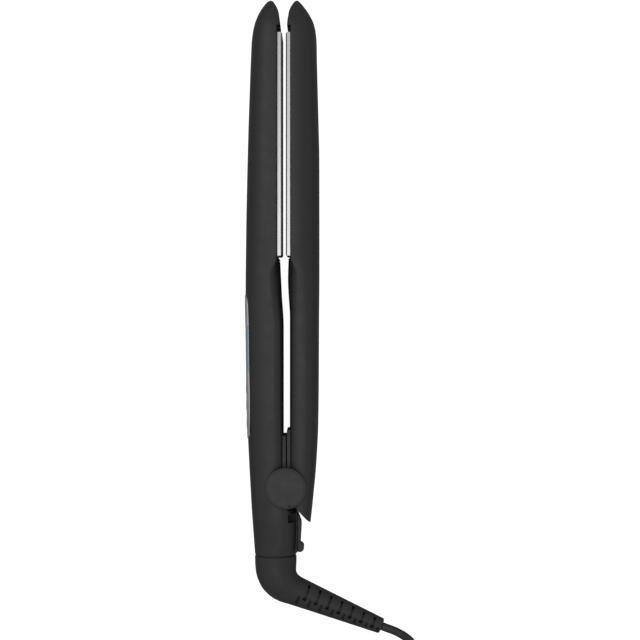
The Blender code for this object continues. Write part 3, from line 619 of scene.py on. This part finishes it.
def plate(side, looks):
    """The heated plate: a bright channel whose hair face and edges carry the dark coating."""
    name = ARM[side]
    hair_face = FACE[side]
    edge = 0.6
    # Half section from the face's middle round the edge to the leg's end and back inside: depth, half-width
    half = [(0, 0), (0, PLATE_HALF - edge - 0.25), (0.04, PLATE_HALF - edge), (edge - 0.04, PLATE_HALF - 0.05),
            (edge + 0.04, PLATE_HALF), (4.8, PLATE_HALF), (4.8, 11.7), (1.8, 11.7), (1.8, 0)]
    rings = []
    for y, drawn in ((PLATE_LOW, edge), (PLATE_LOW + edge, 0), (PLATE_HIGH - edge, 0), (PLATE_HIGH, edge)):
        ring = [(max(d, drawn), w) for d, w in half]
        ring += [(d, -w) for d, w in reversed(ring[1:-1])]
        rings.append([(hair_face + side * d, y, MID + w) for d, w in ring])
    body = loft(f"{name}_hot_plate", rings, 20)
    fit(body, f"{name}_plate", "plate", looks["plate"], f"{name}_plate")
    repaint(body, looks["plate_side"], lambda x, y, z, normal: abs(x - hair_face) > edge + 0.03)


# The hinge, panel, buttons and lock ---------------------------------------------------------------------------------

def hinge_caps(looks):
    """Round caps: flat face with a fine shallow ring near a small rounded rim, and a pry dimple."""
    profile = [(0, 7.5), (1.0, 7.5), (1.0, 2.5), (9.9, 2.5), (10.3, 2.15), (10.3, 0.75), (10.26, 0.48), (10.16, 0.26),
               (10.0, 0.1), (9.8, 0.02), (9.6, 0), (9.42, 0), (9.32, 0.09), (9.2, 0.12), (9.08, 0.09), (8.98, 0),
               (0, 0)]
    dimple = [(0, -0.5), (0.45, -0.4), (0.7, 0), (0.45, 0.4), (0, 0.5)]
    for which, face, points in (("lower", 0.0, profile), ("upper", TOP, [(r, TOP - h) for r, h in profile])):
        cap = turned(f"hinge_cap_{which}_face", "Z", (0, 0, 0), points, 128)
        change(cap, "DIFFERENCE", turned("dimple", "Z", (2.0, -8.75, face), dimple, 24))
        fit(cap, "control_arm", "casing", looks["cap"], f"hinge_cap_{which}")


def skin(name, low, high, proud):
    """A solid of the control arm's own outer shape, standing a little proud of it."""
    return arm_body(name, -1, -proud, low - 3, high + 3)


def panel(looks):
    """The panel's frame, the display's window and its seven-segment digits."""
    bezel = skin("panel_frame", PANEL_LOW, PANEL_HIGH, 0.35)
    outline = rounded((PANEL_LOW, MID - PANEL_HALF), (PANEL_HIGH, MID + PANEL_HALF), PANEL_CORNER)
    # The long sides, after the first and third corner, are split for the tinted edge beside the display
    ends, corner = (LENS_LOW - 0.3, LENS_HIGH + 0.3), len(outline) // 4
    outline[3 * corner:3 * corner] = [(y, MID - PANEL_HALF) for y in ends]
    outline[corner:corner] = [(y, MID + PANEL_HALF) for y in reversed(ends)]
    change(bezel, "INTERSECT", prism("frame_bounds", "X", outline, OUTSIDE_X, -17.9))
    change(bezel, "DIFFERENCE",
           window("lens_window", LENS_LOW, LENS_HIGH, LENS_HALF, 1.6, 0.12, OUTSIDE_X, -15),
           *(rod(f"{name}_way", "X", (0, y, MID), BUTTON + 0.22, OUTSIDE_X, -16, 48) for name, y in BUTTONS.items()))
    fit(bezel, "control_arm", "panel", looks["panel"], "panel_bezel")
    repaint(bezel, looks["lens"], lambda x, y, z, normal: (
        LENS_LOW - 0.6 < y < LENS_HIGH + 0.6 and abs(z - MID) > LENS_HALF + 0.13))

    lens = skin("display_window", LENS_LOW, LENS_HIGH, 0.32)
    change(lens, "INTERSECT", window("lens_bounds", LENS_LOW, LENS_HIGH, LENS_HALF, 1.5, 0, OUTSIDE_X, -18.1))
    fit(lens, "control_arm", "lens", looks["lens"], "display_lens")

    high, wide, half_bar = 3.1, 1.55, 0.21  # a digit's half-height and half-width, and half a bar's thickness
    bars = {"a": (0, high), "g": (0, 0), "d": (0, -high), "f": (-wide, high / 2), "b": (wide, high / 2),
            "e": (-wide, -high / 2), "c": (wide, -high / 2)}
    segments = []
    for lit, middle in (("abged", 73.6), ("abcdef", 68.4), ("abcdef", 63.2)):
        for letter in lit:
            across, up = bars[letter]
            y, z = middle - across, MID + up
            if letter in "agd":
                a, b = wide - 0.5, half_bar
                outline = [(-a - b, 0), (-a, -b), (a, -b), (a + b, 0), (a, b), (-a, b)]
            else:
                a, b = half_bar, high / 2 - 0.5
                outline = [(0, -b - a), (a, -b), (a, b), (0, b + a), (-a, b), (-a, -b)]
            segments.append(prism("segment", "X", [(y + p, z + q) for p, q in outline], OUTSIDE_X, -19.4))
    digits = join("display_digits", segments)
    change(digits, "INTERSECT", skin("digit_skin", LENS_LOW, LENS_HIGH, 0.35))
    fit(digits, "control_arm", "lens", looks["digits"])


def buttons(looks):
    """Dished button caps with raised marks."""
    long, thin = 1.25, 0.22
    arc = [(r * math.cos(math.radians(a)), r * math.sin(math.radians(a)))
           for r, turns in ((1.35, range(35, 326, 10)), (0.95, range(325, 34, -10))) for a in turns]
    marks = {
        "plus_button": [[(thin, thin), (thin, long), (-thin, long), (-thin, thin), (-long, thin), (-long, -thin),
                         (-thin, -thin), (-thin, -long), (thin, -long), (thin, -thin), (long, -thin), (long, thin)]],
        "minus_button": [[(-thin, -long), (thin, -long), (thin, long), (-thin, long)]],
        "power_button": [arc, [(0.3, -0.2), (1.6, -0.2), (1.6, 0.2), (0.3, 0.2)]]}
    for name, y in BUTTONS.items():
        face = OUTER[-1](y) - 0.4
        profile = [(0, -16.9), (3.9, -16.9), (3.9, -17.5), (BUTTON, -17.5), (BUTTON, face + 0.45),
                   (BUTTON - 0.1, face + 0.2), (BUTTON - 0.35, face + 0.03), (BUTTON - 0.6, face), (2.2, face + 0.06),
                   (1.2, face + 0.14), (0, face + 0.17)]
        cap = turned(name + "_cap", "X", (0, y, MID), profile, 64, 40)
        fit(cap, name, "button", looks["button"], name)
        mark = join(name + "_mark", [prism("stroke", "X", [(y + a, MID + b) for a, b in outline],
                                           face + 0.6, face + 0.02) for outline in marks[name]])
        fit(mark, name, "button", looks["mark"])


def lock(looks):
    """The lock slider with a round grip at its end, fine ribs, and its tongue through the slot."""
    knob = [(6.85 + 2.1 * math.cos(math.radians(a)), -30.6 + 2.1 * math.sin(math.radians(a)))
            for a in range(75, -121, -7)]
    outline = [(5.75, -12.9), (7.55, -17.5), (7.72, -18.6), (7.75, -20.2), (7.3, -28)] + knob + [(5.75, -32.3)]
    slider = softened(prism("lock_slider_grip", "Z", outline, 10, 20), 0.2, 3, 50)
    ribs = [block("rib", (8.55, 9.4), (y - 0.18, y + 0.18), (10.6, 19.4)) for y in (-31.8, -31.0, -30.2, -29.4)]
    change(slider, "DIFFERENCE", join("ribs", ribs))
    change(slider, "UNION", block("tongue", (2.0, 6.5), (-23, -17.5), (13, 17)),
           block("head", (1.5, 2.6), (-23, -17.5), (11.3, 18.7)))
    fit(slider, "lock_slider", "casing", looks["casing"], "lock_slider")


# The boot, cord and plug --------------------------------------------------------------------------------------------

RELIEF_START, RELIEF_END = Vector((4.4, -52.45)), Vector((47.7, -70.4))
RELIEF_SLOPE = math.radians(17.8)  # of its outer edge
RELIEF_ROUND = 0.7  # at its end
# The boot from its seam round the elbow: inner edge x and y, outer edge x and y, half-depth
BENDS = [(5.2, SEAM - 1.1, -15.7, SEAM - 1.1, 10.3), (5.15, -38.5, -15.6, -38.5, 10.2),
         (5.0, -41.0, -15.4, -41.5, 10.2), (5.05, -42.5, -14.9, -44.6, 10.2), (5.25, -43.5, -13.9, -47.5, 10.1),
         (5.75, -44.4, -12.3, -50.7, 9.9), (6.5, -45.25, -9.9, -53.6, 9.5), (7.5, -45.95, -6.9, -56.05, 8.9),
         (8.6, -46.5, -3.0, -58.05, 8.3), (9.9, -47.15, 1.0, -59.25, 7.75), (11.5, -47.95, 5.0, -60.55, 7.3),
         (13.5, -48.95, 9.0, -61.85, 6.85), (15.5, -49.95, 11.5, -62.65, 6.65), (49.2, -66.8, 46.2, -74.0, 3.9)]


def oval(centre, across, wide, deep, count):
    """A ring of points whose half-width lies across and whose half-depth is upright."""
    return [Vector(centre) + Vector(across) * wide * math.cos(a) + Vector((0, 0, deep)) * math.sin(a)
            for a in [2 * math.pi * k / count for k in range(count)]]


def boot(looks):
    """The swivel boot: stem and flange in the casing, round head, elbow, and the tapered strain relief."""
    rings = [((SWIVEL_X, y, MID), (1, 0, 0), r, r) for y, r in (
        (-23.6, 5.3), (-23.9, 5.6), (-26.2, 5.6), (-26.2, 7.6), (-28.0, 7.6), (-28.0, 5.6), (SEAM - 0.05, 5.6),
        (SEAM - 0.05, 9.7), (SEAM - 0.32, 9.7), (SEAM - 0.32, 10.0), (SEAM - 0.42, 10.2), (SEAM - 0.65, 10.35))]
    bends = [np.array(row) for row in BENDS]
    spans = list(zip([bends[0]] + bends, bends, bends[1:], bends[2:]))
    elbow = [(between(a, b, c, d, t), 0) for a, b, c, d in spans for t in (0, 0.25, 0.5, 0.75)]
    relief = [(bends[-2] * (1 - t) + bends[-1] * t, t)
              for t in [k / 30 for k in range(30)] + [0.985, 0.992, 0.997, 1]]
    outer_length = (bends[-1] - bends[-2])[2] / math.cos(RELIEF_SLOPE)
    for row, reach in elbow + relief:
        inner, outer = Vector((row[0], row[1], MID)), Vector((row[2], row[3], MID))
        drawn = max(0.0, RELIEF_ROUND - outer_length * (1 - reach))
        less = RELIEF_ROUND - math.sqrt(max(0.0, RELIEF_ROUND ** 2 - drawn ** 2))
        rings.append(((inner + outer) / 2, (inner - outer).normalized(), (inner - outer).length / 2 - less,
                      row[4] - less))
    body = loft("swivel_boot_body", [oval(*ring, 72) for ring in rings])
    change(body, "DIFFERENCE", relief_slots(), solver="MANIFOLD")
    fit(body, "cord_swivel", "boot", looks["boot"], "swivel_boot")


def relief_slots():
    """Shallow slots across the strain relief, in two rows: those of one row end in a square hole."""
    along = (RELIEF_END - RELIEF_START).normalized()
    length = (RELIEF_END - RELIEF_START).length
    parts = []
    for k in range(15):
        reach = 2.65 + 3.03 * k
        radius = 7.4 - 3.5 * reach / length
        if k % 2:
            outline = [(-0.62, radius * 0.8), (-0.62, -0.1), (-0.95, -0.1), (-0.95, -1.95), (0.95, -1.95),
                       (0.95, -0.1), (0.62, -0.1), (0.62, radius * 0.8)]
        else:
            outline = [(-0.66, -radius - 1), (-0.66, -radius * 0.1), (0.66, -radius * 0.1), (0.66, -radius - 1)]
        for low, high in ((radius * 0.18, 12), (-12, -radius * 0.18)):
            parts.append(prism("slot", "Z", [(reach + x, y) for x, y in outline], low, high))
    slots = join("slots", parts)
    slots.data.transform(Matrix.Translation(Vector((*RELIEF_START, MID)) * MM)
                         @ Matrix.Rotation(math.atan2(along.y, along.x), 4, "Z"))
    core = loft("core", [oval((*at, MID), (-along.y, along.x, 0), radius, radius, 40)
                         for at, radius in ((RELIEF_START - along * 2, 5.9),
                                            (RELIEF_START + along * (length + 1), 2.5))])
    return change(slots, "DIFFERENCE", core)


def hank():
    """The wound length: eight turns on two tracks in four layers, which change over along the left run."""
    order = (0, 1, 1, 0, 0, 1, 1, 0)
    last = len(order) - 1
    points = []
    for k, track in enumerate(order):
        radius, z = HANK_TRACKS[track], HANK_LAYERS[k // 2]
        for j in range(10):
            points.append((HANK_X + radius, HANK_TOP - HANK_RUN * j / 10, z))
        for j in range(14 if k < last else 7):
            t = -math.pi * j / 14
            points.append((HANK_X + radius * math.cos(t), HANK_TOP - HANK_RUN + radius * math.sin(t), z))
        if k == last:
            points.append((HANK_X, HANK_TOP - HANK_RUN - radius, z))
            break
        after, z_after = HANK_TRACKS[order[k + 1]], HANK_LAYERS[(k + 1) // 2]
        for j in range(10):
            t = j / 10
            ease = t * t * (3 - 2 * t)
            aside = (0.7 if track else -0.2) * math.sin(math.pi * t) ** 2 if z_after > z else 0.0
            points.append((HANK_X - radius + (radius - after) * ease + aside, HANK_TOP - HANK_RUN * (1 - t),
                           z + (z_after - z) * ease))
        for j in range(14):
            t = math.pi - math.pi * j / 14
            points.append((HANK_X + after * math.cos(t), HANK_TOP + after * math.sin(t), z_after))
    return points


def cord(looks):
    """The mains cord and the strap that ties its hank."""
    route = smooth_route(CORD_RUN + hank() + CORD_END_RUN, 1.6)
    curve = bpy.data.curves.new("mains_cord", "CURVE")
    curve.dimensions = "3D"
    curve.bevel_depth = CORD * MM
    curve.bevel_resolution = 4
    curve.use_fill_caps = True
    spline = curve.splines.new("POLY")
    spline.points.add(len(route) - 1)
    for point, place in zip(spline.points, route):
        point.co = (*(place * MM), 1)
    flex = placed("mains_cord", curve)
    fit(flex, "cord_swivel", "cord", looks["cord"], "cord_run", "cord_hank", "cord_end_run")

    middle = HANK_TOP - HANK_RUN / 2
    outside = rounded((HANK_X - 20.5, 0.05), (HANK_X + 20.5, 19.15), 3.0)
    inside = rounded((HANK_X - 19.75, 0.65), (HANK_X + 19.75, 18.5), 2.4)
    strap = loft("cord_tie_strap", [[(x, middle + edge, z) for x, z in outline] for outline, edge in (
        (outside, -2.95), (outside, 2.95), (inside, 2.95), (inside, -2.95))], closed=True)
    fit(softened(strap, 0.15), "cord_swivel", "tie", looks["tie"], "cord_tie")
    return flex, strap


# The plug from the cord to its face: place, half-width, half-thickness and roundness
PLUG_LENGTH = 46
PLUG_STATIONS = [
    (0, 3.0, 3.0, 2), (0.4, 3.4, 3.4, 2), (7, 3.6, 3.6, 2), (14, 3.9, 3.9, 2), (15, 4.6, 4.4, 2.2), (16, 7, 5.5, 2.5),
    (18.5, 9.6, 6.1, 2.7), (22, 12, 6.6, 3), (27, 14.6, 6.8, 3.3), (32, 16.5, 6.85, 3.5), (38, 17.3, 6.85, 3.8),
    (44.4, 17.6, 6.85, 4), (45.3, 17.5, 6.75, 4), (45.8, 17.2, 6.5, 4), (PLUG_LENGTH, 16.8, 6.2, 4)]


def plug_form(name, every, drawn, count):
    """The plug's shape, or one drawn in a little, through every so many of its places."""
    tables = [curve_through([(station[0], station[k]) for station in PLUG_STATIONS]) for k in (1, 2, 3)]
    rings = []
    for place in sorted({station[0] for station in PLUG_STATIONS} | set(range(PLUG_LENGTH)))[::every]:
        wide, thick, bend = (table(place) for table in tables)
        turns = [2 * math.pi * k / count for k in range(count)]
        rings.append([(PLUG_X + (wide - drawn) * math.copysign(abs(math.cos(t)) ** (2 / bend), math.cos(t)),
                       PLUG_END + place,
                       PLUG_Z + (thick - drawn) * math.copysign(abs(math.sin(t)) ** (2 / bend), math.sin(t)))
                      for t in turns])
    return loft(name, rings)


def plug(looks):
    """The flat plug with its grip grooves, and its two pins."""
    body = plug_form("plug_shell", 1, 0, 72)
    grooves = join("grooves", [block("groove", (PLUG_X - 30, PLUG_X + 30),
                                     (PLUG_END + place - 0.45, PLUG_END + place + 0.45), (-5, 30))
                               for place in (20, 22.5, 25, 27.5, 30)])
    change(grooves, "DIFFERENCE", plug_form("core", 3, 0.45, 48))
    change(body, "DIFFERENCE", grooves, solver="MANIFOLD")
    made = [fit(body, "cord_swivel", "plug", looks["plug"], "plug_body")]
    foot = PLUG_END + PLUG_LENGTH + 0.3
    profile = [(0, 19), (0.9, 18.95), (1.4, 18.7), (1.8, 18.1), (2, 17.2), (2, 9), (1.85, 8.9), (1.85, 0), (0, 0)]
    for way, x in (("left", -9.3), ("right", 9.3)):
        pin = turned(f"plug_pin_{way}_metal", "Y", (PLUG_X + x, foot, PLUG_Z), profile, 40)
        made.append(fit(pin, "cord_swivel", "brass", looks["pin"], f"plug_pin_{way}"))
    return made


# The CAD nodes that stay --------------------------------------------------------------------------------------------

def dress_nodes(looks):
    """Gives each CAD node that still shows its procedural material."""
    slots = {entry["node"]: entry["material_slot"] for entry in frame["record"]["subparts"]}
    for name, node in frame["nodes"].items():
        if not node.hide_render:
            node.data.materials.clear()
            node.data.materials.append(looks[slots[name]])


# Floor, lights and camera -------------------------------------------------------------------------------------------

def stage():
    """A pale floor and a studio that are lit evenly and look white, two soft lamps, and the camera straight above."""
    floor = piece("floor", [(-3000, -3000, 0), (3000, -3000, 0), (3000, 3000, 0), (-3000, 3000, 0)], [(0, 1, 2, 3)])
    look = Look("pale_floor", (0.32, 0.32, 0.32), 0.9, specular=0.0)
    look.tint(look.noise(400, 2), 0.99, 1.01)
    look.shader.inputs["Emission Color"].default_value = (1, 1, 1, 1)
    look.drive("Emission Strength", look.node("ShaderNodeLightPath").outputs["Is Camera Ray"], 0.0, 0.97)
    floor.data.materials.append(look.material)

    world = bpy.data.worlds.new("studio")
    bpy.context.scene.world = world
    world.use_nodes = True
    tree = world.node_tree
    way = tree.nodes.new("ShaderNodeSeparateXYZ")
    tree.links.new(tree.nodes.new("ShaderNodeTexCoord").outputs["Generated"], way.inputs[0])
    glow = tree.nodes.new("ShaderNodeMapRange")
    for key, value in (("From Min", -0.2), ("From Max", 0.9), ("To Min", SURROUND[0]), ("To Max", SURROUND[1])):
        glow.inputs[key].default_value = value
    tree.links.new(way.outputs["Z"], glow.inputs["Value"])
    seen = tree.nodes.new("ShaderNodeMix")
    seen.inputs["B"].default_value = 1.0
    tree.links.new(tree.nodes.new("ShaderNodeLightPath").outputs["Is Camera Ray"], seen.inputs["Factor"])
    tree.links.new(glow.outputs["Result"], seen.inputs["A"])
    tree.nodes["Background"].inputs["Color"].default_value = (1, 1, 1, 1)
    tree.links.new(seen.outputs["Result"], tree.nodes["Background"].inputs["Strength"])

    for name, place, aim, size, power in (
            ("key", (0.0, 0.02, 1.0), (0, 0.02, 0), (0.5, 0.5), 1.2),
            ("fill", (-0.5, 0.35, 0.8), (0, 0.06, 0), (0.3, 0.6), 1.2)):
        light = bpy.data.lights.new(name, "AREA")
        light.shape = "RECTANGLE"
        light.size, light.size_y = size
        light.energy = power
        lamp = placed(name, light)
        lamp.location = place
        lamp.rotation_euler = (Vector(aim) - Vector(place)).to_track_quat("-Z", "Y").to_euler()

    camera = placed("camera", bpy.data.cameras.new("camera"))
    camera.location = (0.0169, 0.0828, 0.745)
    camera.data.sensor_width = 36
    camera.data.lens = 82
    camera.data.clip_start = 0.01
    bpy.context.scene.camera = camera
    bpy.context.scene.view_settings.view_transform = "Standard"


looks = make_materials()
stage()
flex, strap = cord(looks)
plug_pieces = plug(looks)
control_shell(looks)
plain_shell(looks)
for arm_side in (-1, 1):
    cover(arm_side, looks)
    plate(arm_side, looks)
hinge_caps(looks)
panel(looks)
buttons(looks)
lock(looks)
boot(looks)
dress_nodes(looks)
